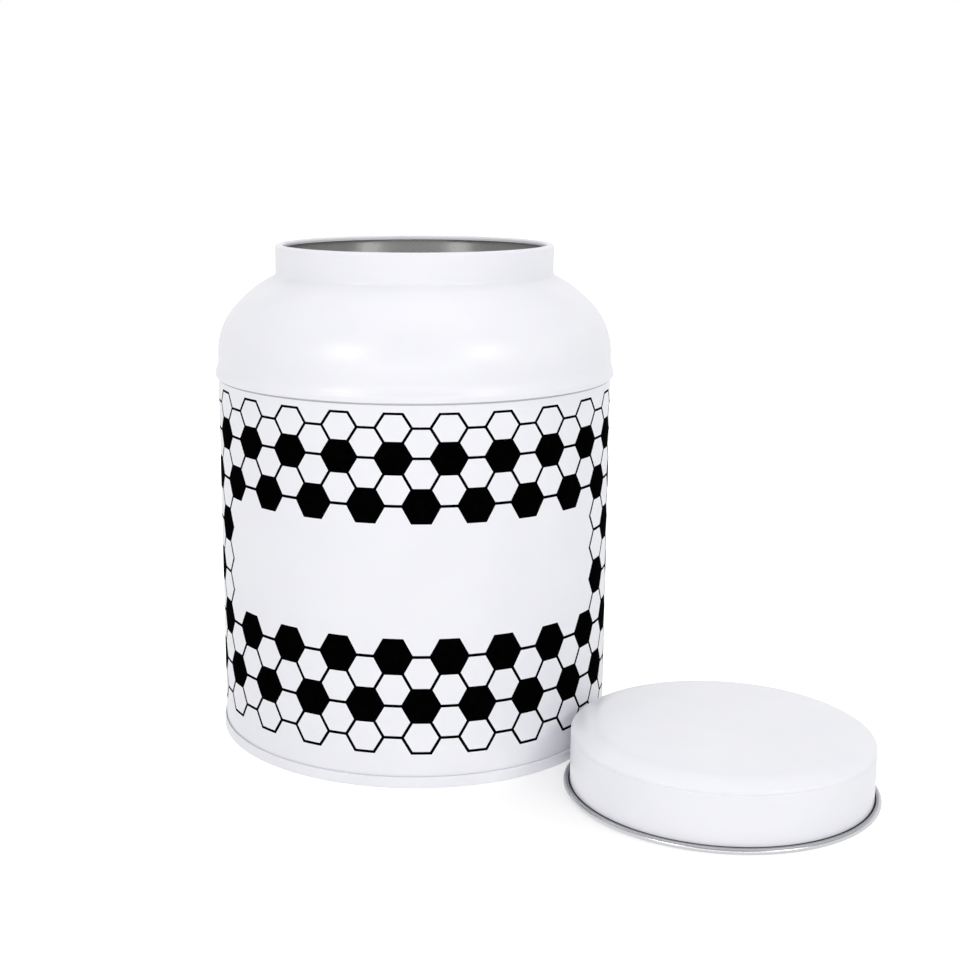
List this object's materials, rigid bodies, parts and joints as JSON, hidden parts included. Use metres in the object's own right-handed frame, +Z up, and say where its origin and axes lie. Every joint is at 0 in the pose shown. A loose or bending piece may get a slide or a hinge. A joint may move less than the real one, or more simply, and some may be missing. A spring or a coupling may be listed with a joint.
{
  "type": "spice jar",
  "caption": "Round tinplate storage jar with a domed shoulder, open neck with a folded lip, countersunk base and a slip-on lid lying beside it.",
  "frame": {"origin": "on the floor under the jar's axis, in the plane of the base seam's lower edge", "axes": "+Z up along the jar's axis, -Y the printed front, +X to the right as seen from the front"},
  "size_m": [0.1735, 0.1488, 0.1355],
  "materials": {
    "white_enamel": "smooth satin white coating on tinplate",
    "bare_tinplate": "bare rolled tinplate, fine grain",
    "print_ink": "black print under a satin varnish"
  },
  "bodies": {
    "jar": {"body_wall": "white_enamel", "base_end": "white_enamel", "shoulder": "white_enamel"},
    "lid": {"lid": "white_enamel"}
  },
  "joints": [
    {"name": "lid_lift", "type": "slide", "parent": "jar", "child": "lid", "axis": [0, 0, 1], "range_m": [0, 0.15]}
  ]
}
